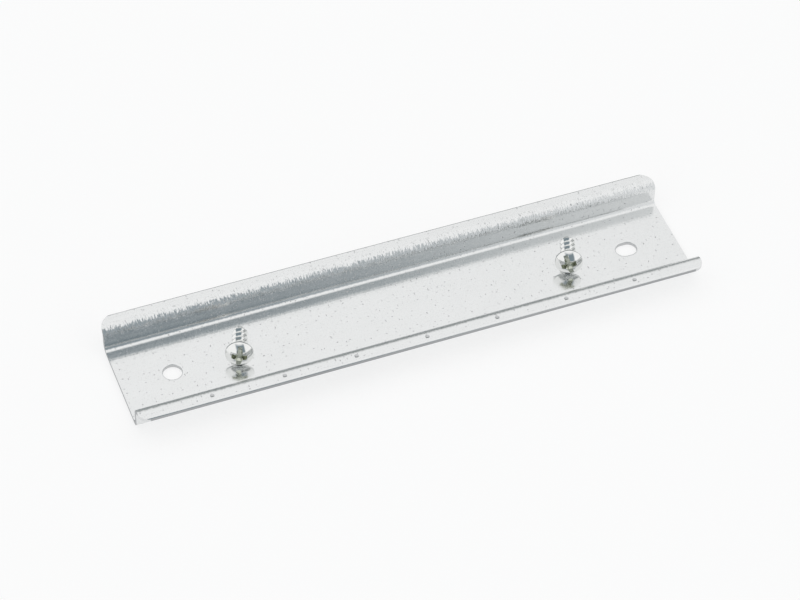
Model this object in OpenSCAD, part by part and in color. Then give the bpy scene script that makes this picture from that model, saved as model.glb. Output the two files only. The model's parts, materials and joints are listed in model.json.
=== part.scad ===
// Mounting rail of top-hat section, zinc-plated steel, with its two fixing screws lying in the channel.
// Millimetres. X runs along the rail, Y across it from front to back, Z up.
// The origin is the middle of the web's underside.

/* [Rail] */
// Length of the rail
rail_length = 147; // [120:1:300]
// Width over the two flanges
flange_span = 35; // [32:0.5:45]
// Width of the hat over the outside of its walls
hat_width = 27; // [22:0.5:29]
// Height from the underside of the web to the top of the flanges
rail_height = 7.5; // [6:0.5:15]
// Thickness of the steel strip
strip = 1; // [0.8:0.1:1.5]
// Inside radius of the four bends
bend_r = 1.4; // [0.3:0.1:1.6]
// Radius of the back flange's corners at the ends, seen from above
back_corner_r = 4; // [0.5:0.1:4.2]
// Radius of the front flange's corners at the ends, seen from above
front_corner_r = 2.5; // [0.5:0.1:4.2]

/* [Fixing holes] */
// Distance from the left end to the centre of the round hole
hole_from_end = 13.3; // [8:0.1:30]
// Diameter of the round hole
hole_d = 4.8; // [3:0.1:8]
// Distance from the right end to the centre of the slot
slot_from_end = 13.3; // [8:0.1:30]
// Width of the slot, across the rail
slot_width = 4.4; // [3:0.1:8]
// Distance between the centres of the slot's round ends, along the rail
slot_travel = 1.1; // [0.5:0.1:6]

/* [Flange marks] */
// Spacing of the punched marks along the front flange
mark_pitch = 18.35; // [10:0.05:40]
// Width of a mark at the surface
mark_width = 1.1; // [0.4:0.1:1.4]
// Depth of a mark
mark_depth = 0.12; // [0.05:0.01:0.3]
// Distance from the front edge of the flange to the marks
mark_from_edge = 1.9; // [1:0.1:3]

/* [Screws] */
// Diameter of a screw's head
head_d = 7; // [6:0.1:9]
// Height of the head
head_height = 2; // [1.6:0.1:4]
// Height of the head's straight rim
head_rim = 0.4; // [0.2:0.1:0.8]
// Diameter over the thread's crests
thread_d = 3.9; // [3:0.1:4.6]
// Diameter of the core under the thread
core_d = 2.6; // [1.8:0.1:2.8]
// Distance from one crest of the thread to the next
thread_pitch = 1.8; // [1.4:0.1:2.4]
// Width of the flat along the thread's crest
crest_width = 0.15; // [0.05:0.05:0.3]
// Width of the thread's foot where it leaves the core
thread_foot = 0.8; // [0.5:0.05:1.2]
// Length of the screw under its head
shank_length = 9.8; // [7:0.2:16]
// Diameter of the blunt tip's flat end
tip_d = 1.8; // [1.2:0.1:2.4]
// Length of the taper at the tip
tip_length = 0.8; // [0.4:0.1:2]

/* [Screw drive] */
// Width of the slot across the head
drive_slot_width = 1.1; // [0.6:0.1:1.4]
// Depth of the slot across the head
drive_slot_depth = 0.9; // [0.5:0.1:1.2]
// Length of each pair of arms of the cross, end to end
cross_length = 4.4; // [3:0.1:5]
// Width of the cross's arms
cross_width = 1.3; // [0.6:0.1:1.6]
// Depth of the cross
cross_depth = 1.5; // [1:0.1:1.6]

/* [Where the screws lie] */
// Distance along the rail from the round hole to the left screw
left_screw_from_hole = 16.1; // [12:0.1:24]
// Distance along the rail from the slot to the right screw
right_screw_from_slot = 17.1; // [12:0.1:24]
// How far in front of the rail's middle line the left screw's head touches the web
left_screw_forward = 3.3; // [0:0.1:4]
// How far in front of the rail's middle line the right screw's head touches the web
right_screw_forward = 2.6; // [0:0.1:4]
// Direction in which the left screw points, counted from the rail's length
left_screw_heading = 71; // [45:1:135]
// Direction in which the right screw points, counted from the rail's length
right_screw_heading = 69; // [45:1:135]
// Turn of the left screw about its own axis
left_screw_turn = -7; // [-90:1:90]
// Turn of the right screw about its own axis
right_screw_turn = 20; // [-90:1:90]
// Gap between a screw and the web under it
rest_gap = 0.03; // [0.01:0.01:0.1]

/* [Hidden] */
$fn = 64;
// How far a cutter stands out of what it cuts
over = 1;

// Rail
bend_outer = bend_r + strip;
hat_inside = hat_width - 2 * strip;
hole_x = -rail_length / 2 + hole_from_end;
slot_x = rail_length / 2 - slot_from_end;
mark_y = -flange_span / 2 + mark_from_edge;
// Radius of the ball whose cap, as wide and deep as a mark, is cut out
mark_r = (pow(mark_width / 2, 2) + pow(mark_depth, 2)) / (2 * mark_depth);
// As many marks as fit clear of the rounded corners, centred on the rail
mark_reach = floor((rail_length / 2 - front_corner_r - mark_width) / mark_pitch);

// Screws
head_r = head_d / 2;
// Radius of the head's domed top, which starts at the rim
dome_height = head_height - head_rim;
dome_r = (pow(head_r, 2) + pow(dome_height, 2)) / (2 * dome_height);
thread_r = thread_d / 2;
core_r = core_d / 2;
// How far the thread's foot is sunk into the core
thread_sink = 0.15;
// Radius at which the thread's foot starts
foot_r = core_r - thread_sink;
// Steps in one turn of the thread
turn_steps = 24;
// Turns of the thread, from just under the head to the tip's taper
thread_turns = (shank_length - tip_length - thread_foot) / thread_pitch;
// Turns over which the thread grows to its full height at each end
fade_turns = 0.5;
// Height that the thread starts from, as a share of its full height
least_share = 0.02;

// One quarter of a bend's ring about its centre, in the quadrant that dir points to
module bend_ring(dir) {
    intersection() {
        difference() {
            circle(bend_outer);
            circle(bend_r);
        }
        translate([dir.x > 0 ? 0 : -bend_outer, dir.y > 0 ? 0 : -bend_outer])
            square(bend_outer);
    }
}

// Right half of the rail's section: X is the distance from the middle, Y the height
module half_section() {
    web_half = hat_inside / 2 - bend_r;
    flange_start = hat_width / 2 + bend_r;
    square([web_half, strip]);
    translate([web_half, bend_outer])
        bend_ring([1, -1]);
    translate([hat_inside / 2, bend_outer])
        square([strip, rail_height - 2 * bend_outer]);
    translate([flange_start, rail_height - bend_outer])
        bend_ring([-1, 1]);
    translate([flange_start, rail_height - strip])
        square([flange_span / 2 - flange_start, strip]);
}

// Back half of the rail's outline from above, with rounded corners
module half_outline(corner_r) {
    translate([-rail_length / 2 + corner_r, 0])
        square([rail_length - 2 * corner_r, flange_span / 2]);
    translate([-rail_length / 2, 0])
        square([rail_length, flange_span / 2 - corner_r]);
    for (side = [-1, 1])
        translate([side * (rail_length / 2 - corner_r), flange_span / 2 - corner_r])
            circle(corner_r);
}

module outline() {
    half_outline(back_corner_r);
    mirror([0, 1])
        half_outline(front_corner_r);
}

module strip_form() {
    intersection() {
        rotate([90, 0, 90])
            linear_extrude(rail_length + 2 * over, center = true)
                union() {
                    half_section();
                    mirror([1, 0])
                        half_section();
                }
        translate([0, 0, -over])
            linear_extrude(rail_height + 2 * over)
                outline();
    }
}

module slot_cut() {
    for (side = [-1, 1])
        translate([side * slot_travel / 2, 0, 0])
            cylinder(d = slot_width, h = strip + 2 * over);
    translate([-slot_travel / 2, -slot_width / 2, 0])
        cube([slot_travel, slot_width, strip + 2 * over]);
}

// Cutter for a shallow round dimple in the surface at Z 0
module punched_mark() {
    translate([0, 0, mark_r - mark_depth])
        sphere(mark_r);
}

module rail() {
    color("silver")
        difference() {
            strip_form();
            translate([hole_x, 0, -over])
                cylinder(d = hole_d, h = strip + 2 * over);
            translate([slot_x, 0, -over])
                slot_cut();
            for (i = [-mark_reach : mark_reach])
                translate([i * mark_pitch, mark_y, rail_height])
                    punched_mark();
        }
}

// Head: a flat underside, a straight rim and a domed top, on the Z axis from 0 up
module screw_head() {
    rotate_extrude()
        intersection() {
            square([head_r, head_height]);
            translate([0, head_height - dome_r])
                circle(dome_r);
        }
}

// Radius of the thread's crest after so many turns from the head
function crest_r(turns) =
    let (share = min(1, turns / fade_turns, (thread_turns - turns) / fade_turns))
    foot_r + max(least_share, share) * (thread_r - foot_r);

// Depth of the thread below the head after so many turns
function thread_depth(turns) = thread_foot / 2 + thread_pitch * turns;

// The four corners of the thread's section after so many turns
function thread_section(turns) =
    [for (corner = [
            [foot_r, thread_foot / 2],
            [crest_r(turns), crest_width / 2],
            [crest_r(turns), -crest_width / 2],
            [foot_r, -thread_foot / 2],
        ])
        [
            corner.x * cos(360 * turns),
            -corner.x * sin(360 * turns),
            corner.y - thread_depth(turns),
        ]];

// Thread: a right-handed ridge wound down the Z axis from under the head
module thread() {
    steps = ceil(thread_turns * turn_steps);
    sections = [for (step = [0 : steps]) each thread_section(thread_turns * step / steps)];
    sides = [
        for (step = [0 : steps - 1], corner = [0 : 3])
            let (here = 4 * step + corner, beside = 4 * step + (corner + 1) % 4)
            [here, beside, beside + 4, here + 4]
    ];
    ends = [[3, 2, 1, 0], [for (corner = [0 : 3]) 4 * steps + corner]];
    polyhedron(sections, concat(sides, ends));
}

// Shank: the core with its blunt tip, and the thread on it, on the Z axis from 0 down
module screw_shank() {
    translate([0, 0, -shank_length + tip_length])
        cylinder(d = core_d, h = shank_length - tip_length + head_rim / 2);
    translate([0, 0, -shank_length])
        cylinder(d1 = tip_d, d2 = core_d, h = tip_length);
    thread();
}

// Slot across the whole head and a deeper cross in its middle
module screw_drive() {
    translate([-head_d / 2 - over, -drive_slot_width / 2, head_height - drive_slot_depth])
        cube([head_d + 2 * over, drive_slot_width, drive_slot_depth + over]);
    for (turn = [0, 90])
        rotate(turn)
            translate([-cross_length / 2, -cross_width / 2, head_height - cross_depth])
                cube([cross_length, cross_width, cross_depth + over]);
}

module screw() {
    difference() {
        union() {
            screw_head();
            screw_shank();
        }
        screw_drive();
    }
}

// Radius and depth of what may touch the web: the crests that face down, and the tip's taper
function low_places(turn) =
    let (first = (turn + 540) % 360 / 360)
    concat(
        [for (turns = [first : thread_turns])
            [crest_r(turns), thread_depth(turns) + crest_width / 2]],
        [[core_r, shank_length - tip_length], [tip_d / 2, shank_length]]
    );

// Angle at which a screw lies, on the rim of its head and the place that touches first
function lie_angle(turn) =
    min([for (place = low_places(turn)) atan((head_r - place.x) / place.y)]);

// A screw on the web, turned about its own axis, the rim of its head touching at x, y
module lying_screw(x, y, heading, turn) {
    color("gainsboro")
        translate([x, y, strip + rest_gap])
            rotate([0, lie_angle(turn), heading])
                translate([0, 0, head_r])
                    rotate([0, -90, 0])
                        rotate(turn)
                            screw();
}

module fixing_screw_left() {
    lying_screw(
        hole_x + left_screw_from_hole, -left_screw_forward,
        left_screw_heading, left_screw_turn
    );
}

module fixing_screw_right() {
    lying_screw(
        slot_x - right_screw_from_slot, -right_screw_forward,
        right_screw_heading, right_screw_turn
    );
}

rail();
fixing_screw_left();
fixing_screw_right();
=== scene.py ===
# %% [markdown]
# # A short mounting rail with its two screws
# The object is a piece of top-hat rail, the kind that clip-on devices sit on, made of one strip of
# zinc-plated steel. Two pan-head screws lie in its channel. Nothing on it moves, so every piece rides
# on the one body.

# %% Frame and sizes
import json
import math

import bmesh
import bpy
from mathutils import Matrix, Quaternion, Vector


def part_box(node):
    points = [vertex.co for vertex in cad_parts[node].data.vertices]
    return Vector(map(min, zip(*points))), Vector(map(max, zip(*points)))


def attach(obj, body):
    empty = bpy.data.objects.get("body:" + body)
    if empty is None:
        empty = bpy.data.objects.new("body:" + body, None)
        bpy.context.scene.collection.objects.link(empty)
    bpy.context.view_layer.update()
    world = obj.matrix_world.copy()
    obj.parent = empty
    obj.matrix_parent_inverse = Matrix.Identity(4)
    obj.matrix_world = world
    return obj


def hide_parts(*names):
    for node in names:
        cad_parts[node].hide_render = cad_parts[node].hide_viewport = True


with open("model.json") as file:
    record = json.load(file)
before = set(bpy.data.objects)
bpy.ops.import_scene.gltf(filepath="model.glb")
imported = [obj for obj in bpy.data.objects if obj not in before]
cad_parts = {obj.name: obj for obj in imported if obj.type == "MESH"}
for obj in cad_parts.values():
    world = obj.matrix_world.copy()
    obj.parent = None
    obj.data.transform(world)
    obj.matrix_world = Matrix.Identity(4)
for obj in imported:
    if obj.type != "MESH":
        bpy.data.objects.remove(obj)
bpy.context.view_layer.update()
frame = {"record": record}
MM = 0.001

rail_low, rail_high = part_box("rail")
rail_length = rail_high.x - rail_low.x
flange_span = rail_high.y - rail_low.y
rail_height = rail_high.z
print("rail", [round(side / MM, 2) for side in (rail_length, flange_span, rail_height)], "mm")

# %% Sizes that the frame doesn't give
strip = 1.0 * MM
hat_width = 27.0 * MM
bend_inside = 1.4 * MM
bend_outside = bend_inside + strip
back_corner = 4.0 * MM
front_corner = 2.5 * MM
web_half = hat_width / 2 - bend_outside
flange_start = hat_width / 2 + bend_inside
wall_top = rail_height - bend_outside
mounts = {mount["name"]: mount for mount in frame["record"]["mounts"]}
hole_at = Vector(mounts["fixing_hole"]["pos_m"])
slot_at = Vector(mounts["fixing_slot"]["pos_m"])
hole_radius = mounts["fixing_hole"]["dims"]["r_mm"] * MM
slot_width = 4.4 * MM
slot_travel = 1.1 * MM
print("hole to slot", round((slot_at.x - hole_at.x) / MM, 2), "mm")

# %% [markdown]
# ## The camera
# A long lens from about three quarters of a metre keeps the rail's long edges nearly parallel. A
# camera can be placed by hand and turned with the mouse, but angles round a target say plainly where
# it stands: how far round to the left, how high, and how far off. A small roll levels nothing; it is
# only how the camera was held.

# %% Camera
view_turn = math.radians(22.09)
view_height = math.radians(48.0)
view_roll = math.radians(1.65)
view_distance = 739.8 * MM
view_target = Vector((0.5, 4.0, 0)) * MM

towards_camera = Vector((
    -math.sin(view_turn) * math.cos(view_height),
    -math.cos(view_turn) * math.cos(view_height),
    math.sin(view_height),
))
lens = bpy.data.cameras.new("camera")
lens.sensor_width = 36
lens.lens = 133.65
lens.clip_start = 0.01
lens.clip_end = 20
camera = bpy.data.objects.new("camera", lens)
camera.location = view_target + towards_camera * view_distance
camera.rotation_mode = "QUATERNION"
camera.rotation_quaternion = (
    towards_camera.to_track_quat("Z", "Y") @ Quaternion((0, 0, 1), view_roll)
)
bpy.context.scene.collection.objects.link(camera)
bpy.context.scene.camera = camera
bpy.context.scene.view_settings.view_transform = "Standard"
print("camera at", [round(value / MM) for value in camera.location], "mm")

# %% [markdown]
# ## Node helper
# Materials are made of nodes. This helper adds a node, sets its properties, and fills its inputs
# either with a value or with a link from another node's output, so that each line of a material
# reads like a sentence.

# %% Node helper
def put(tree, kind, inputs=None, **settings):
    new = tree.nodes.new("ShaderNode" + kind)
    for name, value in settings.items():
        setattr(new, name, value)
    for key, value in (inputs or {}).items():
        if isinstance(value, bpy.types.NodeSocket):
            tree.links.new(value, new.inputs[key])
        else:
            new.inputs[key].default_value = value
    return new


def smooth_step(tree, value, low, high):
    """0 where value is below low, 1 where it is above high, with a soft change between."""
    step = put(tree, "MapRange", {"Value": value, "From Min": low, "From Max": high},
               interpolation_type="SMOOTHSTEP")
    return step.outputs["Result"]


def product(tree, first, second):
    return put(tree, "Math", {0: first, 1: second}, operation="MULTIPLY").outputs[0]


def mixed(tree, share, first, second):
    """The first colour where share is 0 and the second where it is 1."""
    return put(tree, "Mix", {"Factor": share, "A": first, "B": second},
               data_type="RGBA").outputs["Result"]


# %% [markdown]
# ## The studio
# Bright metal shows its surroundings more than itself, so the studio is most of its look. The sky is
# an even white tent. In front of the rail the tent has a gap, cool and dark, between two upright
# edges; the inside of the rail's back wall mirrors it. Behind the rail the tent stops short of the
# floor, and that low dark band draws a line along every rounded edge that faces it. Area lamps could
# do the same, but a sky written as a function of direction has no noise and no hard edges.

# %% Sky
TENT_COLOUR = (1, 1, 1, 1)
GAP_COLOUR = (0.22, 0.27, 0.30, 1)
BAND_COLOUR = (0.29, 0.31, 0.31, 1)


def build_sky():
    world = bpy.data.worlds.new("white tent")
    world.use_nodes = True
    tree = world.node_tree
    tree.nodes.clear()
    direction = put(tree, "TexCoord").outputs["Generated"]
    split = put(tree, "SeparateXYZ", {0: direction}).outputs
    gap = product(tree, smooth_step(tree, split["X"], 0.34, 0.22),
                  smooth_step(tree, split["X"], -0.62, -0.46))
    gap = product(tree, gap, smooth_step(tree, split["Z"], 0.92, 0.72))
    gap = product(tree, gap, smooth_step(tree, split["Y"], 0.0, -0.3))
    band = product(tree, smooth_step(tree, split["Z"], 0.78, 0.30),
                   smooth_step(tree, split["Y"], 0.1, 0.4))
    tent = mixed(tree, band, TENT_COLOUR, BAND_COLOUR)
    tent = mixed(tree, gap, tent, GAP_COLOUR)
    shown = put(tree, "Background", {"Color": tent, "Strength": 1.0})
    put(tree, "OutputWorld", {0: shown.outputs[0]})
    bpy.context.scene.world = world
    print("sky", len(tree.nodes), "nodes")


build_sky()

# %% [markdown]
# The floor is white paper. A white that is lit would have to be lit as strongly as the metal, so part
# of its white is its own glow, which only the camera and reflections see; the rest is a grey that takes
# the rail's soft shadow.

# %% Floor
FLOOR_HALF = 3.0
FLOOR_DROP = 0.02 * MM
PAPER_GREY = (0.30, 0.30, 0.30, 1)
PAPER_GLOW = 0.72


def build_floor():
    bm = bmesh.new()
    bmesh.ops.create_grid(bm, x_segments=1, y_segments=1, size=FLOOR_HALF)
    bmesh.ops.translate(bm, verts=bm.verts, vec=(0, 0, -FLOOR_DROP))
    mesh = bpy.data.meshes.new("floor")
    bm.to_mesh(mesh)
    bm.free()
    floor = bpy.data.objects.new("floor", mesh)
    bpy.context.scene.collection.objects.link(floor)

    paper = bpy.data.materials.new("white paper")
    paper.use_nodes = True
    tree = paper.node_tree
    tree.nodes.clear()
    light = put(tree, "LightPath")
    seen = put(tree, "Math", {0: light.outputs["Is Camera Ray"], 1: light.outputs["Is Glossy Ray"]},
               operation="MAXIMUM")
    seen = put(tree, "Math", {0: seen.outputs[0], 1: light.outputs["Is Transmission Ray"]},
               operation="MAXIMUM")
    lit = put(tree, "BsdfDiffuse", {"Color": PAPER_GREY})
    glow = put(tree, "Emission", {"Color": (1, 1, 1, 1),
                                  "Strength": product(tree, seen.outputs[0], PAPER_GLOW)})
    both = put(tree, "AddShader", {0: lit.outputs[0], 1: glow.outputs[0]})
    put(tree, "OutputMaterial", {0: both.outputs[0]})
    mesh.materials.append(paper)


build_floor()

# %% [markdown]
# ## Shared effects
# Some effects turn up in more than one finish: the faint clouds of a zinc coat, the dark specks in
# it, and the lines that rolling leaves. Each is a node group, built once, with named inputs and
# outputs, and each material gives it its own sizes. The groups work in millimetres.

# %% Group helper
def new_group(name, inputs, outputs):
    """A shader node group with the named sockets; returns it, its input node and a finisher."""
    group = bpy.data.node_groups.new(name, "ShaderNodeTree")
    for label, kind, value in inputs:
        socket = group.interface.new_socket(label, in_out="INPUT", socket_type=kind)
        if value is not None:
            socket.default_value = value
    for label in outputs:
        group.interface.new_socket(label, in_out="OUTPUT", socket_type="NodeSocketFloat")
    entry = group.nodes.new("NodeGroupInput")
    exit_node = group.nodes.new("NodeGroupOutput")

    def finish(**results):
        for label, socket in results.items():
            group.links.new(socket, exit_node.inputs[label.replace("_", " ")])
        print("group", name, len(group.nodes), "nodes")
        return group

    return group, entry.outputs, finish


def use_group(tree, group, inputs):
    node = tree.nodes.new("ShaderNodeGroup")
    node.node_tree = group
    for label, value in inputs.items():
        if isinstance(value, bpy.types.NodeSocket):
            tree.links.new(value, node.inputs[label])
        else:
            node.inputs[label].default_value = value
    return node.outputs


# %% Clouds of the zinc coat
def build_clouds():
    tree, given, finish = new_group(
        "zinc clouds",
        [("Place", "NodeSocketVector", None), ("Size", "NodeSocketFloat", 8.0)],
        ["Tone"],
    )
    scale = put(tree, "Math", {0: 1.0, 1: given["Size"]}, operation="DIVIDE").outputs[0]
    cloud = put(tree, "TexNoise", {"Vector": given["Place"], "Scale": scale, "Detail": 4.0,
                                   "Roughness": 0.6})
    return finish(Tone=cloud.outputs["Fac"])


zinc_clouds = build_clouds()

# %% Specks in the zinc coat
def build_specks():
    """Ragged specks, one at most in each cell of a Voronoi pattern, of all sizes up to Size.
    A fine noise shifts the place before the pattern reads it, so that no two have one outline."""
    tree, given, finish = new_group(
        "zinc specks",
        [("Place", "NodeSocketVector", None), ("Spacing", "NodeSocketFloat", 2.0),
         ("Size", "NodeSocketFloat", 0.15), ("Share", "NodeSocketFloat", 0.5),
         ("Raggedness", "NodeSocketFloat", 3.0)],
        ["Mask"],
    )
    scale = put(tree, "Math", {0: 1.0, 1: given["Spacing"]}, operation="DIVIDE").outputs[0]
    rag_scale = put(tree, "Math", {0: 1.0, 1: given["Size"]}, operation="DIVIDE").outputs[0]
    rag = put(tree, "TexNoise", {"Vector": given["Place"], "Scale": rag_scale, "Detail": 2.0})
    shift = put(tree, "VectorMath", {0: rag.outputs["Color"], 1: (0.5, 0.5, 0.5)}, operation="SUBTRACT")
    furthest = product(tree, given["Size"], given["Raggedness"])
    shift = put(tree, "VectorMath", {0: shift.outputs[0], "Scale": furthest}, operation="SCALE")
    ragged = put(tree, "VectorMath", {0: given["Place"], 1: shift.outputs[0]}, operation="ADD").outputs[0]
    cells = put(tree, "TexVoronoi", {"Vector": ragged, "Scale": scale},
                voronoi_dimensions="2D")
    chance = put(tree, "SeparateColor", {0: cells.outputs["Color"]})
    reach = product(tree, given["Size"], scale)
    reach = product(tree, reach, smooth_step(tree, chance.outputs["Red"], -0.4, 1.0))
    inner = product(tree, reach, 0.35)
    spot = put(tree, "MapRange", {"Value": cells.outputs["Distance"], "From Min": reach,
                                  "From Max": inner}, interpolation_type="SMOOTHSTEP")
    there = put(tree, "Math", {0: chance.outputs["Green"], 1: given["Share"]},
                operation="LESS_THAN").outputs[0]
    return finish(Mask=product(tree, spot.outputs["Result"], there))


zinc_specks = build_specks()

# %% Lines left by rolling
def build_lines():
    """Long fine lines: a noise drawn out along the first direction of Place."""
    tree, given, finish = new_group(
        "rolling lines",
        [("Place", "NodeSocketVector", None), ("Length", "NodeSocketFloat", 60.0),
         ("Width", "NodeSocketFloat", 0.4)],
        ["Height"],
    )
    drawn = put(tree, "CombineXYZ", {
        "X": put(tree, "Math", {0: 1.0, 1: given["Length"]}, operation="DIVIDE").outputs[0],
        "Y": put(tree, "Math", {0: 1.0, 1: given["Width"]}, operation="DIVIDE").outputs[0],
        "Z": 1.0,
    })
    place = put(tree, "VectorMath", {0: given["Place"], 1: drawn.outputs[0]},
                operation="MULTIPLY").outputs[0]
    lines = put(tree, "TexNoise", {"Vector": place, "Scale": 1.0, "Detail": 2.0})
    return finish(Height=lines.outputs["Fac"])


rolling_lines = build_lines()

# %% [markdown]
# ## The strip's finish
# Zinc-plated strip is bright but not a mirror. Its flats keep a faint clouding, dark specks and long
# lines from the rollers; over the outside of a bend the coat is stretched, so that it turns rougher
# and breaks up in short streaks across the bend, more at the back bend than at the front one; and the
# sheared edges show dull bare steel, painted darker than bare steel as painted shade. All of this
# follows the strip, so the material reads the strip's own UV map, which is the flat strip before it
# was bent: U along the rail and V across it, both in metres. How bare a face is comes from an attribute
# on the faces, which also holds a painted highlight on the front corners. The streaks could be a bump,
# but a bump that steep is noisy, so they tip the normal across the strip instead.

# %% Strip's unrolled sizes
bend_length = (bend_inside + strip / 2) * math.pi / 2
wall_height = wall_top - bend_outside
foot_bend_middle = web_half + bend_length / 2
top_bend_middle = web_half + bend_length * 1.5 + wall_height
print("bends at", round(foot_bend_middle / MM, 2), "and", round(top_bend_middle / MM, 2), "mm")

# %% Zones and sums
def near(tree, value, middle, half, soft):
    """1 within half of the middle, falling to 0 over the width soft."""
    away = put(tree, "Math", {0: value, 1: middle}, operation="SUBTRACT").outputs[0]
    away = put(tree, "Math", {0: away}, operation="ABSOLUTE").outputs[0]
    return smooth_step(tree, away, half + soft, half)


def weighted_sum(tree, base, *terms):
    total = base
    for socket, weight in terms:
        total = put(tree, "Math", {0: socket, 1: weight, 2: total},
                    operation="MULTIPLY_ADD").outputs[0]
    return total


def stretched(tree, place, along, across):
    """The place squeezed by two factors, so that a pattern read there is drawn out instead."""
    return put(tree, "VectorMath", {0: place, 1: (along, across, 1)},
               operation="MULTIPLY").outputs[0]


# %% Specks on the strip
def strip_specks(tree, place):
    """Specks drawn out along the rail and across it, and a finer dust between them."""
    along = use_group(tree, zinc_specks, {"Place": stretched(tree, place, 0.75, 1.2), "Spacing": 2.0,
                                          "Size": 0.20, "Share": 0.55})["Mask"]
    across = use_group(tree, zinc_specks, {"Place": stretched(tree, place, 1.25, 0.6), "Spacing": 2.1,
                                           "Size": 0.22, "Share": 0.5})["Mask"]
    specks = put(tree, "Math", {0: along, 1: across}, operation="MAXIMUM").outputs[0]
    dust = use_group(tree, zinc_specks, {"Place": place, "Spacing": 0.6, "Size": 0.14,
                                         "Share": 0.5})["Mask"]
    return specks, dust


# %% Streaks over the bends
STREAK_WIDTH = 0.28
STREAK_LENGTH = 1.0


def stretch_streaks(tree, place):
    streaks = put(tree, "TexNoise", {"Vector": stretched(tree, place, 1 / STREAK_WIDTH, 1 / STREAK_LENGTH),
                                     "Scale": 1.0, "Detail": 3.0, "Roughness": 0.6})
    return streaks.outputs["Fac"]


def leaning_normal(tree, streaks, strength):
    """Tips the surface across the strip, one way or the other, by the streaks."""
    lean = put(tree, "Math", {0: streaks, 1: 0.5}, operation="SUBTRACT").outputs[0]
    lean = product(tree, lean, strength)
    facing = put(tree, "NewGeometry").outputs["Normal"]
    over_bend = put(tree, "VectorMath", {0: facing, 1: (1, 0, 0)}, operation="CROSS_PRODUCT").outputs[0]
    over_bend = put(tree, "VectorMath", {0: over_bend, "Scale": lean}, operation="SCALE").outputs[0]
    leaning = put(tree, "VectorMath", {0: facing, 1: over_bend}, operation="ADD").outputs[0]
    return put(tree, "VectorMath", {0: leaning}, operation="NORMALIZE").outputs[0]


# %% Strip material
ZINC_DULL, ZINC_BRIGHT = (0.78, 0.79, 0.79, 1), (0.84, 0.85, 0.85, 1)
# The sheared edges' steel greys: bare steel's own grey, set darker still as painted shade.
SHEARED_STEEL_AND_SHADE_DARK, SHEARED_STEEL_AND_SHADE_LIGHT = (0.34, 0.35, 0.36, 1), (0.50, 0.51, 0.52, 1)
SPECK_COLOUR = (0.16, 0.17, 0.17, 1)


def build_strip_finish():
    finish = bpy.data.materials.new("bright zinc on strip")
    finish.use_nodes = True
    tree = finish.node_tree
    tree.nodes.clear()
    flat = put(tree, "UVMap", uv_map="flat_strip").outputs["UV"]
    place = put(tree, "VectorMath", {0: flat, "Scale": 1 / MM}, operation="SCALE").outputs[0]
    from_middle = put(tree, "SeparateXYZ", {0: place}).outputs["Y"]
    at_back = smooth_step(tree, from_middle, -1.0, 1.0)
    across = put(tree, "Math", {0: from_middle}, operation="ABSOLUTE").outputs[0]
    top_bend = near(tree, across, top_bend_middle / MM, 0.9, 0.9)
    foot_bend = near(tree, across, foot_bend_middle / MM, 0.7, 0.9)
    cut = put(tree, "Attribute", attribute_name="cut_edge").outputs["Fac"]

    clouds = use_group(tree, zinc_clouds, {"Place": place, "Size": 6.0})["Tone"]
    lines = use_group(tree, rolling_lines, {"Place": place, "Length": 90.0, "Width": 0.45})["Height"]
    specks, dust = strip_specks(tree, place)
    streaks = stretch_streaks(tree, place)
    worked = product(tree, streaks, top_bend)
    livelier = product(tree, top_bend, weighted_sum(tree, 0.5, (at_back, 1.8)))
    strength = weighted_sum(tree, livelier, (foot_bend, 0.3), (at_back, 0.1))

    zinc = mixed(tree, clouds, ZINC_DULL, ZINC_BRIGHT)
    dark = weighted_sum(tree, product(tree, specks, 0.50), (dust, 0.22))
    speckled = mixed(tree, dark, zinc, SPECK_COLOUR)
    # Sheared-edge steel: partly its own grey, partly painted shade.
    steel = mixed(tree, lines, SHEARED_STEEL_AND_SHADE_DARK, SHEARED_STEEL_AND_SHADE_LIGHT)
    rough = weighted_sum(tree, 0.10, (lines, 0.06), (clouds, 0.06), (worked, 0.14),
                         (foot_bend, 0.04), (specks, 0.3), (cut, 0.25))
    height = weighted_sum(tree, 0.0, (lines, 0.006), (worked, 0.01), (specks, -0.01))
    bump = put(tree, "Bump", {"Height": height, "Distance": MM, "Strength": 1.0,
                              "Normal": leaning_normal(tree, streaks, strength)})
    surface = put(tree, "BsdfPrincipled", {"Base Color": mixed(tree, cut, speckled, steel),
                                           "Metallic": 1.0, "Roughness": rough,
                                           "Normal": bump.outputs[0]})
    put(tree, "OutputMaterial", {0: surface.outputs[0]})
    print("strip finish", len(tree.nodes), "nodes")
    return finish


strip_finish = build_strip_finish()

# %% [markdown]
# ## The screws' finish
# The screws are plated in a barrel, which leaves them brighter and smoother than the strip. The recess
# is painted a darker, greenish grey, which is painted shade.

# %% Screw material
BARREL_DULL, BARREL_BRIGHT = (0.82, 0.83, 0.82, 1), (0.90, 0.90, 0.89, 1)
RECESS_PAINTED_SHADE = (0.62, 0.64, 0.56, 1)


def build_screw_finish():
    finish = bpy.data.materials.new("barrel zinc on screws")
    finish.use_nodes = True
    tree = finish.node_tree
    tree.nodes.clear()
    place = put(tree, "TexCoord").outputs["Object"]
    place = put(tree, "VectorMath", {0: place, "Scale": 1 / MM}, operation="SCALE").outputs[0]
    clouds = use_group(tree, zinc_clouds, {"Place": place, "Size": 1.5})["Tone"]
    recess = put(tree, "Attribute", attribute_name="recess").outputs["Fac"]
    # The recess is painted darker and greener: painted shade.
    colour = mixed(tree, recess, mixed(tree, clouds, BARREL_DULL, BARREL_BRIGHT), RECESS_PAINTED_SHADE)
    rough = weighted_sum(tree, 0.06, (clouds, 0.1), (recess, 0.1))
    height = product(tree, clouds, 0.01)
    bump = put(tree, "Bump", {"Height": height, "Distance": MM, "Strength": 1.0})
    surface = put(tree, "BsdfPrincipled", {"Base Color": colour, "Metallic": 1.0,
                                           "Roughness": rough, "Normal": bump.outputs[0]})
    put(tree, "OutputMaterial", {0: surface.outputs[0]})
    print("screw finish", len(tree.nodes), "nodes")
    return finish


screw_finish = build_screw_finish()

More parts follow.
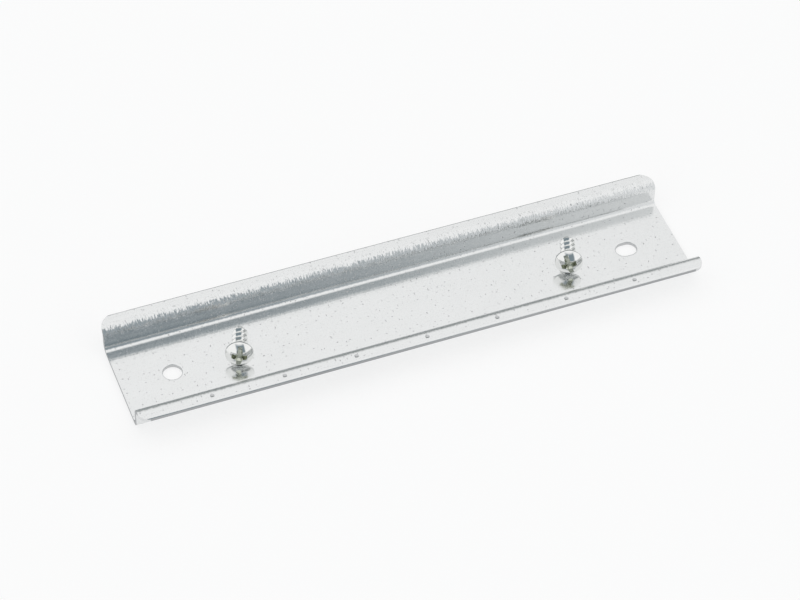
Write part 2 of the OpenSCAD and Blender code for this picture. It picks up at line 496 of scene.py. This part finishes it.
# %% [markdown]
# ## The strip's section
# The rail is one strip, bent four times. Its section could be typed in as a list of corners, but
# drawing it the way it was bent is shorter and keeps every size in view: the strip's own edge, one
# thickness high, is pushed along each flat with an extrusion, and swung round each bend with a spin.
# Half of it is drawn, from the middle of the web to the flange's edge, and mirrored. The flange ends in
# a round shoulder, because the blade that slits the strip drags its upper skin down with it.

# %% Section tools
BEND_STEPS = 14
ROLL_STEPS = 6
ROLL_OVER = 0.4 * MM
TINY = 1e-7


def push(bm, edge, step):
    """Draws the strip's edge along a flat, and returns its new place."""
    grown = bmesh.ops.extrude_edge_only(bm, edges=[edge])["geom"]
    moved = {item for item in grown if isinstance(item, bmesh.types.BMVert)}
    bmesh.ops.translate(bm, verts=list(moved), vec=step)
    return next(item for item in grown
                if isinstance(item, bmesh.types.BMEdge) and set(item.verts) == moved)


def swing(bm, edge, centre, angle):
    """Draws the strip's edge round a bend, and returns its new place."""
    swept = bmesh.ops.spin(bm, geom=[edge, *edge.verts], cent=centre, axis=(1, 0, 0),
                           angle=angle, steps=BEND_STEPS)["geom_last"]
    return next(item for item in swept if isinstance(item, bmesh.types.BMEdge))


def roll_over(bm, edge):
    """Ends the flange with the round shoulder that a shear drags down as it enters the strip."""
    reached = 0
    for i in range(1, ROLL_STEPS + 1):
        angle = math.radians(90) * i / ROLL_STEPS
        reach = ROLL_OVER * math.sin(angle)
        edge = push(bm, edge, (0, reach - reached, 0))
        reached = reach
        shoulder = max(edge.verts, key=lambda vert: vert.co.z)
        shoulder.co.z = rail_height - ROLL_OVER * (1 - math.cos(angle))


# %% Half a section, drawn and mirrored
def draw_section():
    bm = bmesh.new()
    low = bm.verts.new((rail_low.x, 0, 0))
    high = bm.verts.new((rail_low.x, 0, strip))
    edge = bm.edges.new((low, high))
    edge = push(bm, edge, (0, web_half, 0))
    edge = swing(bm, edge, (0, web_half, bend_outside), math.radians(90))
    edge = push(bm, edge, (0, 0, wall_height))
    edge = swing(bm, edge, (0, flange_start, wall_top), math.radians(-90))
    edge = push(bm, edge, (0, flange_span / 2 - flange_start - ROLL_OVER, 0))
    roll_over(bm, edge)
    bmesh.ops.mirror(bm, geom=bm.verts[:] + bm.edges[:] + bm.faces[:], axis="Y", merge_dist=TINY)
    print("section", len(bm.faces), "faces")
    return bm


# %% [markdown]
# ## The blank's corners, holes and marks
# The section is pushed along the rail's length to give a solid. Knife cuts, made with bisect_plane,
# then lay lines where something has to happen: lines that follow the rounded corners, and a small
# square patch round each hole and each punched mark. A boolean would cut the same shapes, but patches
# filled from rings keep the mesh clean for the bevel that follows.

# %% Corners
CORNER_STEPS = 10


def cut_across(bm, place, direction):
    bmesh.ops.bisect_plane(bm, geom=bm.verts[:] + bm.edges[:] + bm.faces[:], dist=TINY,
                           plane_co=place, plane_no=direction)


def round_corners(bm, side, radius):
    """Rounds the two corners of one flange: side is 1 for the back one and -1 for the front one."""
    start = flange_span / 2 - radius
    for i in range(1, CORNER_STEPS):
        reach = start + radius * math.sin(math.radians(90) * i / CORNER_STEPS)
        cut_across(bm, (0, side * reach, 0), (0, 1, 0))
    ends = [vert for vert in bm.verts if abs(vert.co.x) > rail_high.x - TINY]
    for vert in ends:
        beyond = side * vert.co.y - start
        if beyond > 0:
            kept = math.sqrt(max(0, radius ** 2 - beyond ** 2))
            vert.co.x -= math.copysign(radius - kept, vert.co.x)


# %% Rings and patches
RING_SIDES = 48


def frame_patch(bm, centre, half):
    for side in (-half, half):
        cut_across(bm, (centre.x + side, 0, 0), (1, 0, 0))
        cut_across(bm, (0, centre.y + side, 0), (0, 1, 0))


def open_patch(bm, centre, half, level):
    """Removes the flat faces of a patch and returns the loop of edges round it."""
    def inside(face):
        middle = face.calc_center_median()
        return (abs(middle.x - centre.x) < half and abs(middle.y - centre.y) < half
                and all(abs(vert.co.z - level) < TINY for vert in face.verts))

    faces = [face for face in bm.faces if inside(face)]
    rim = {edge for face in faces for edge in face.edges
           if sum(other in faces for other in edge.link_faces) == 1}
    bmesh.ops.delete(bm, geom=faces, context="FACES_ONLY")
    loose = [edge for edge in bm.edges if not edge.link_faces]
    bmesh.ops.delete(bm, geom=loose, context="EDGES")
    return list(rim)


def add_ring(bm, centre, radius, level, stretch=0.0):
    """A ring of points; stretch moves its two halves apart, which makes a slot of a circle."""
    ring = []
    for i in range(RING_SIDES):
        angle = math.radians(360) * (i + 0.5) / RING_SIDES
        x, y = radius * math.cos(angle), radius * math.sin(angle)
        x += math.copysign(stretch / 2, x)
        ring.append(bm.verts.new((centre.x + x, centre.y + y, level)))
    return ring


def pairs_round(ring):
    return list(zip(ring, ring[1:] + ring[:1]))


def fill_between(bm, *rings):
    """Faces from each ring to the next."""
    for first, second in zip(rings, rings[1:]):
        for (a, b), (c, d) in zip(pairs_round(first), pairs_round(second)):
            bm.faces.new((a, b, d, c))


def fill_round(bm, rim, ring):
    """Faces from the square edge of a patch to a ring inside it."""
    inner = [bm.edges.get(pair) for pair in pairs_round(ring)]
    bmesh.ops.bridge_loops(bm, edges=rim + inner)


# %% Holes and marks
PATCH = 5.0 * MM
LAND = 0.5 * MM
MARK_PATCH = 0.65 * MM
mark_pitch = 18.35 * MM
mark_radius = 0.55 * MM
mark_depth = 0.12 * MM
mark_y = rail_low.y + 1.9 * MM
marks = [Vector((i * mark_pitch, mark_y, 0)) for i in range(-3, 4)]


def pierce(bm, centre, radius, stretch=0.0):
    """A hole through the web, with a land of even faces round each rim for the bevel."""
    rims = [open_patch(bm, centre, PATCH, level) for level in (strip, 0)]
    steps = ((radius + LAND, strip), (radius, strip), (radius, 0), (radius + LAND, 0))
    rings = [add_ring(bm, centre, reach, level, stretch) for reach, level in steps]
    fill_between(bm, *rings)
    fill_round(bm, rims[0], rings[0])
    fill_round(bm, rims[1], rings[-1])


def dimple(bm, centre):
    """A shallow round mark, as a ball-ended punch leaves it."""
    ball = (mark_radius ** 2 + mark_depth ** 2) / (2 * mark_depth)
    rim = open_patch(bm, centre, MARK_PATCH, rail_height)
    rings = []
    for share in (1.0, 0.8, 0.6, 0.4, 0.2):
        reach = mark_radius * share
        sunk = mark_depth - ball + math.sqrt(ball ** 2 - reach ** 2)
        rings.append(add_ring(bm, centre, reach, rail_height - sunk))
    fill_between(bm, *rings)
    bm.faces.new(rings[-1])
    fill_round(bm, rim, rings[0])


# %% Rail mesh
EDGE_SOFTNESS = 0.05 * MM
HOLE_ROLL = 0.15 * MM


def build_rail():
    bm = draw_section()
    pushed = bmesh.ops.extrude_face_region(bm, geom=bm.faces[:])["geom"]
    moved = [item for item in pushed if isinstance(item, bmesh.types.BMVert)]
    bmesh.ops.translate(bm, verts=moved, vec=(rail_length, 0, 0))
    bmesh.ops.recalc_face_normals(bm, faces=bm.faces)
    for centre, half in [(hole_at, PATCH), (slot_at, PATCH)] + [(at, MARK_PATCH) for at in marks]:
        frame_patch(bm, centre, half)
    round_corners(bm, 1, back_corner)
    round_corners(bm, -1, front_corner)
    pierce(bm, hole_at, hole_radius)
    pierce(bm, slot_at, slot_width / 2, slot_travel)
    for at in marks:
        dimple(bm, at)
    bmesh.ops.remove_doubles(bm, verts=bm.verts, dist=TINY)
    bmesh.ops.recalc_face_normals(bm, faces=bm.faces)
    open_edges = [edge for edge in bm.edges if not edge.is_manifold]
    print("rail", len(bm.faces), "faces,", len(open_edges), "open edges")
    return bm


rail_bm = build_rail()

# %% [markdown]
# ## Soft edges, and what the finish needs to know
# No real edge is perfectly sharp. The holes' upper rims are rounded most, by the punch as it goes in,
# and a narrow bevel on every other sheared edge catches a line of light. A Bevel modifier would use
# one width for all; the bmesh bevel takes a list of edges, so each kind gets its own. After it, each
# face is told two things that the finish reads: where it lay in the flat strip, as a UV map, and how
# much bare steel it shows, as an attribute, whose lower value on the front corners is a painted highlight.

# %% Bevel
def sharp_edges(bm, angle):
    """Edges whose two faces turn by more than an angle in degrees."""
    return [edge for edge in bm.edges if edge.calc_face_angle(0) > math.radians(angle)]


def soften_edges(bm, edges, width, segments):
    """Bevels the edges. It works a thousand times larger, because the bevel tool treats lengths
    under a tenth of a millimetre as nothing."""
    bmesh.ops.scale(bm, vec=(1 / MM, 1 / MM, 1 / MM), verts=bm.verts)
    bmesh.ops.bevel(bm, geom=edges, offset=width / MM, offset_type="OFFSET", segments=segments,
                    profile=0.5, affect="EDGES", material=-1, clamp_overlap=True)
    bmesh.ops.scale(bm, vec=(MM, MM, MM), verts=bm.verts)
    bm.normal_update()
    print("softened", len(edges), "edges, open edges",
          sum(not edge.is_manifold for edge in bm.edges))



# %% Place in the flat strip
def unroll(place):
    """How far across the flat strip a point lies, and the direction out of the strip there."""
    y, z = abs(place.y), place.z
    if y < web_half:
        across, out = y, (0, 1)
    elif z < bend_outside and y < hat_width / 2 + TINY:
        angle = math.atan2(y - web_half, bend_outside - z)
        across = web_half + angle / math.radians(90) * bend_length
        out = (-math.sin(angle), math.cos(angle))
    elif z < wall_top:
        across = web_half + bend_length + z - bend_outside
        out = (-1, 0)
    elif y < flange_start:
        angle = math.atan2(z - wall_top, flange_start - y)
        across = web_half + bend_length + wall_height + angle / math.radians(90) * bend_length
        out = (-math.cos(angle), math.sin(angle))
    else:
        across = web_half + 2 * bend_length + wall_height + y - flange_start
        out = (0, 1)
    side = math.copysign(1, place.y)
    return across * side, Vector((0, out[0] * side, out[1]))


# %% Upper skin, lower skin or sheared edge
def out_of_skin(face):
    """1 on the strip's upper skin, -1 on its lower skin and 0 on a sheared edge."""
    _, out = unroll(face.calc_center_median())
    return face.normal.dot(out)


def close_to(place, centres, reach):
    """Whether a place, seen from above, lies within reach of one of the centres."""
    return any(math.hypot(place.x - at.x, place.y - at.y) < reach for at in centres)


def hole_rims(bm):
    """The upper rims of the hole and the slot, which the punch rounds as it goes in."""
    def at_hole(edge):
        middle = (edge.verts[0].co + edge.verts[1].co) / 2
        return abs(middle.z - strip) < TINY and close_to(middle, (hole_at, slot_at), PATCH)

    return [edge for edge in sharp_edges(bm, 60) if at_hole(edge)]


soften_edges(rail_bm, hole_rims(rail_bm), HOLE_ROLL, 3)
soften_edges(rail_bm, sharp_edges(rail_bm, 40), EDGE_SOFTNESS, 2)

# %% What the finish reads
HOLE_BARE = 0.65
# The front corners get less bare steel so that they come out lighter: a painted highlight.
CORNER_BARE_PAINTED_LIGHT = 0.2
MARK_BARE = 0.6
MARK_SHARE = 0.9


def bareness_and_painted_light(face):
    """How much bare steel a face shows: all of it where the strip was sheared, less in the holes, which
    come out lighter, and less in the front corners, a painted highlight for the light that falls on them;
    a little in the punched marks, and none on the skin."""
    place = face.calc_center_median()
    if abs(out_of_skin(face)) < 0.4:
        if close_to(place, (hole_at, slot_at), PATCH):
            return HOLE_BARE
        if place.y < rail_low.y + front_corner and rail_high.x - abs(place.x) < front_corner:
            return CORNER_BARE_PAINTED_LIGHT
        return 1.0
    in_mark = place.z > wall_top and close_to(place, marks, mark_radius * MARK_SHARE)
    return MARK_BARE if in_mark else 0.0


def mark_strip(bm):
    flat = bm.loops.layers.uv.new("flat_strip")
    cut = bm.faces.layers.float.new("cut_edge")
    for face in bm.faces:
        face[cut] = bareness_and_painted_light(face)
        face.smooth = True
        for loop in face.loops:
            loop[flat].uv = (loop.vert.co.x, unroll(loop.vert.co)[0])
    print("faces with bare steel", sum(face[cut] > 0 for face in bm.faces))


mark_strip(rail_bm)

# %% Rail piece
def place_piece(bm, name, finish, node):
    """Turns a finished bmesh into a piece that stands for a CAD node and rides on the body."""
    mesh = bpy.data.meshes.new(name)
    bm.to_mesh(mesh)
    bm.free()
    piece = bpy.data.objects.new(name, mesh)
    bpy.context.scene.collection.objects.link(piece)
    mesh.materials.append(finish)
    weighted = piece.modifiers.new("even shading", "WEIGHTED_NORMAL")
    weighted.keep_sharp = True
    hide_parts(node)
    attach(piece, "root")
    print("piece", name, len(mesh.polygons), "faces")
    return piece


place_piece(rail_bm, "top_hat_rail", strip_finish, "rail")

# %% [markdown]
# ## The screws
# Each screw is a short thread-forming screw with a low domed head. Round things are turned: the head
# is a profile spun once round its axis. A thread is a profile spun as well, but moved down one pitch
# for every turn; each turn's lower edge then meets the next turn's upper edge, and the two are merged.

# %% Screw sizes
head_radius = 3.5 * MM
head_height = 2.0 * MM
head_rim = 0.4 * MM
thread_radius = 1.95 * MM
core_radius = 1.3 * MM
pitch = 1.8 * MM
crest_width = 0.15 * MM
root_round = 0.12 * MM
thread_foot = 0.8 * MM
shank_length = 9.8 * MM
tip_radius = 0.9 * MM
tip_length = 0.8 * MM
neck = 0.5 * MM
TURN_SIDES = 64
rest_gap = 0.03 * MM

# %% Screw head
def line_up(bm, points):
    """A chain of edges through points given as (distance from the axis, height)."""
    verts = [bm.verts.new((reach, 0, height)) for reach, height in points]
    return [bm.edges.new(pair) for pair in zip(verts, verts[1:])]


def turn_head():
    """The head: flat below, a short upright rim, and a dome that is part of a ball."""
    bm = bmesh.new()
    dome = head_height - head_rim
    ball = (head_radius ** 2 + dome ** 2) / (2 * dome)
    spread = math.asin(head_radius / ball)
    rim = bm.verts.new((head_radius, 0, head_rim))
    arc = bmesh.ops.spin(bm, geom=[rim], cent=(0, 0, head_height - ball), axis=(0, 1, 0),
                         angle=-spread, steps=14)["geom_last"]
    top = next(item for item in arc if isinstance(item, bmesh.types.BMVert))
    top.co.x = 0
    foot = bm.verts.new((head_radius, 0, 0))
    middle = bm.verts.new((0, 0, 0))
    bm.edges.new((rim, foot))
    bm.edges.new((foot, middle))
    bmesh.ops.spin(bm, geom=bm.verts[:] + bm.edges[:], cent=(0, 0, 0), axis=(0, 0, 1),
                   angle=math.radians(360), steps=TURN_SIDES, use_merge=True)
    bmesh.ops.remove_doubles(bm, verts=bm.verts, dist=TINY)
    bmesh.ops.recalc_face_normals(bm, faces=bm.faces)
    print("head", len(bm.faces), "faces, open edges",
          sum(not edge.is_manifold for edge in bm.edges))
    return bm


# %% Screw shank
def envelope(depth):
    """The furthest that the thread may reach from the axis at a depth below the head."""
    if depth < neck:
        return core_radius
    if depth < neck + pitch / 2:
        return core_radius + (thread_radius - core_radius) * (depth - neck) / (pitch / 2)
    left = shank_length - tip_length - depth
    if left > pitch / 2:
        return thread_radius
    if left > 0:
        return core_radius + (thread_radius - core_radius) * left / (pitch / 2)
    return core_radius + (tip_radius - core_radius) * min(1, -left / tip_length)


def wind_shank():
    """The shank and its thread as one skin, from inside the head to the flat of the tip."""
    bm = bmesh.new()
    land = (pitch - thread_foot) / 2
    flank = (thread_foot - crest_width) / 2
    line_up(bm, [
        (core_radius, 0),
        (core_radius, -land),
        (core_radius + root_round, -land - flank * 0.25),
        (thread_radius, -land - flank),
        (thread_radius, -land - flank - crest_width),
        (core_radius + root_round, -pitch + land + flank * 0.25),
        (core_radius, -pitch + land),
        (core_radius, -pitch),
    ])
    bmesh.ops.translate(bm, verts=bm.verts, vec=(0, 0, pitch * 1.5 - thread_foot / 2))
    turns = math.ceil(shank_length / pitch) + 3
    bmesh.ops.spin(bm, geom=bm.verts[:] + bm.edges[:], cent=(0, 0, 0), axis=(0, 0, 1),
                   dvec=(0, 0, -pitch / TURN_SIDES), angle=math.radians(-360) * turns,
                   steps=TURN_SIDES * turns)
    bmesh.ops.remove_doubles(bm, verts=bm.verts, dist=TINY)
    for level, clear in ((0.1 * MM, "outer"), (-shank_length, "inner")):
        bmesh.ops.bisect_plane(bm, geom=bm.verts[:] + bm.edges[:] + bm.faces[:], dist=TINY,
                               plane_co=(0, 0, level), plane_no=(0, 0, 1),
                               clear_outer=clear == "outer", clear_inner=clear == "inner")
    for vert in bm.verts:
        reach = math.hypot(vert.co.x, vert.co.y)
        allowed = envelope(-vert.co.z)
        if reach > allowed:
            vert.co.x *= allowed / reach
            vert.co.y *= allowed / reach
    open_edges = [edge for edge in bm.edges if edge.is_boundary]
    bmesh.ops.holes_fill(bm, edges=open_edges)
    bmesh.ops.recalc_face_normals(bm, faces=bm.faces)
    print("shank", len(bm.faces), "faces, open edges",
          sum(not edge.is_manifold for edge in bm.edges))
    return bm


# %% [markdown]
# ## The drive
# The recess takes a flat blade or a cross-point driver: a slot runs right across the head, and a
# tapered cross with a cone in its middle goes deeper. Each cut is a simple block with sloping sides,
# taken away with the Boolean modifier, because the blocks meet the dome in curves that would be slow
# to draw by hand.

# %% Recess sizes
slot_blade = 1.1 * MM
slot_depth = 0.9 * MM
cross_depth = 1.5 * MM
cross_top = (4.6 * MM, 1.5 * MM)
cross_foot = (2.4 * MM, 0.8 * MM)
cone_top = 1.35 * MM
cone_foot = 0.6 * MM
over = 0.2 * MM
HEAD_SOFTNESS = 0.04 * MM
UNDER_DOME = 0.05 * MM


def tapered_block(top, foot, depth):
    """A block from above the head down to a depth in it, given as (length, width) at each end."""
    bm = bmesh.new()
    bmesh.ops.create_cube(bm, size=1.0)
    for vert in bm.verts:
        length, width = top if vert.co.z > 0 else foot
        vert.co.x *= length
        vert.co.y *= width
        vert.co.z = head_height + over if vert.co.z > 0 else head_height - depth
    return bm


def cone_block():
    bm = bmesh.new()
    depth = cross_depth + over
    bmesh.ops.create_cone(bm, cap_ends=True, segments=32, radius1=cone_foot, radius2=cone_top,
                          depth=depth)
    bmesh.ops.translate(bm, verts=bm.verts, vec=(0, 0, head_height + over - depth / 2))
    return bm


# %% Join and cut
def as_object(bm, name):
    mesh = bpy.data.meshes.new(name)
    bm.to_mesh(mesh)
    bm.free()
    made = bpy.data.objects.new(name, mesh)
    bpy.context.scene.collection.objects.link(made)
    return made


def combine(base_bm, tools):
    """Applies a list of (operation, bmesh) to a bmesh with the Boolean modifier, in order."""
    base = as_object(base_bm, "base")
    tool_objects = []
    for operation, tool_bm in tools:
        tool = as_object(tool_bm, "tool")
        tool_objects.append(tool)
        cut = base.modifiers.new(operation, "BOOLEAN")
        cut.operation = operation
        cut.solver = "MANIFOLD"
        cut.object = tool
    bpy.context.view_layer.update()
    result = bmesh.new()
    result.from_object(base, bpy.context.evaluated_depsgraph_get())
    for made in [base] + tool_objects:
        mesh = made.data
        bpy.data.objects.remove(made)
        bpy.data.meshes.remove(mesh)
    bmesh.ops.remove_doubles(result, verts=result.verts, dist=TINY)
    print("combined", len(result.faces), "faces, open edges",
          sum(not edge.is_manifold for edge in result.edges))
    return result


# %% Screw mesh
def build_screw():
    across = (2 * head_radius + over, slot_blade)
    quarter = Matrix.Rotation(math.radians(90), 3, "Z")
    second = tapered_block(cross_top, cross_foot, cross_depth)
    bmesh.ops.rotate(second, verts=second.verts, matrix=quarter)
    bm = combine(turn_head(), [
        ("UNION", wind_shank()),
        ("DIFFERENCE", tapered_block(across, across, slot_depth)),
        ("DIFFERENCE", tapered_block(cross_top, cross_foot, cross_depth)),
        ("DIFFERENCE", second),
        ("DIFFERENCE", cone_block()),
    ])
    soften_edges(bm, sharp_edges(bm, 38), HEAD_SOFTNESS, 2)
    mark_recess(bm)
    return bm


def mark_recess(bm):
    """Says which faces lie inside the drive, under the dome."""
    recess = bm.faces.layers.float.new("recess")
    dome = head_height - head_rim
    ball = (head_radius ** 2 + dome ** 2) / (2 * dome)
    centre = Vector((0, 0, head_height - ball))
    for face in bm.faces:
        middle = face.calc_center_median()
        under = ball - (middle - centre).length > UNDER_DOME
        level = head_height - cross_depth - TINY < middle.z
        face[recess] = 1.0 if under and level else 0.0
        face.smooth = True


# %% [markdown]
# ## Lying down
# A loose screw on a flat plate tips over until it rests on the rim of its head and on its thread. The
# angle is found the same way: of all the points of the shank, the one that would touch first as the
# screw tips over says where it stops.

# %% Lay a screw on the web
def lay_down(bm, contact, heading, turn):
    on_side = (Matrix.Translation((0, 0, head_radius)) @ Matrix.Rotation(math.radians(-90), 4, "Y")
               @ Matrix.Rotation(math.radians(turn), 4, "Z"))
    bmesh.ops.transform(bm, matrix=on_side, verts=bm.verts)
    tilt = min(math.atan2(vert.co.z, vert.co.x) for vert in bm.verts if vert.co.x > pitch)
    place = (Matrix.Translation((contact.x, contact.y, strip + rest_gap))
             @ Matrix.Rotation(math.radians(heading), 4, "Z") @ Matrix.Rotation(tilt, 4, "Y"))
    bmesh.ops.transform(bm, matrix=place, verts=bm.verts)
    print("tilt", round(math.degrees(tilt), 1), "degrees, lowest point",
          round(min(vert.co.z for vert in bm.verts) / MM, 3), "mm")
    return bm


left_contact = Vector((hole_at.x + 16.1 * MM, -3.3 * MM, 0))
right_contact = Vector((slot_at.x - 17.1 * MM, -2.6 * MM, 0))
for side, contact, heading, turn in (("left", left_contact, 71, -7), ("right", right_contact, 69, 20)):
    place_piece(lay_down(build_screw(), contact, heading, turn), "thread_forming_screw_" + side,
                screw_finish, "fixing_screw_" + side)
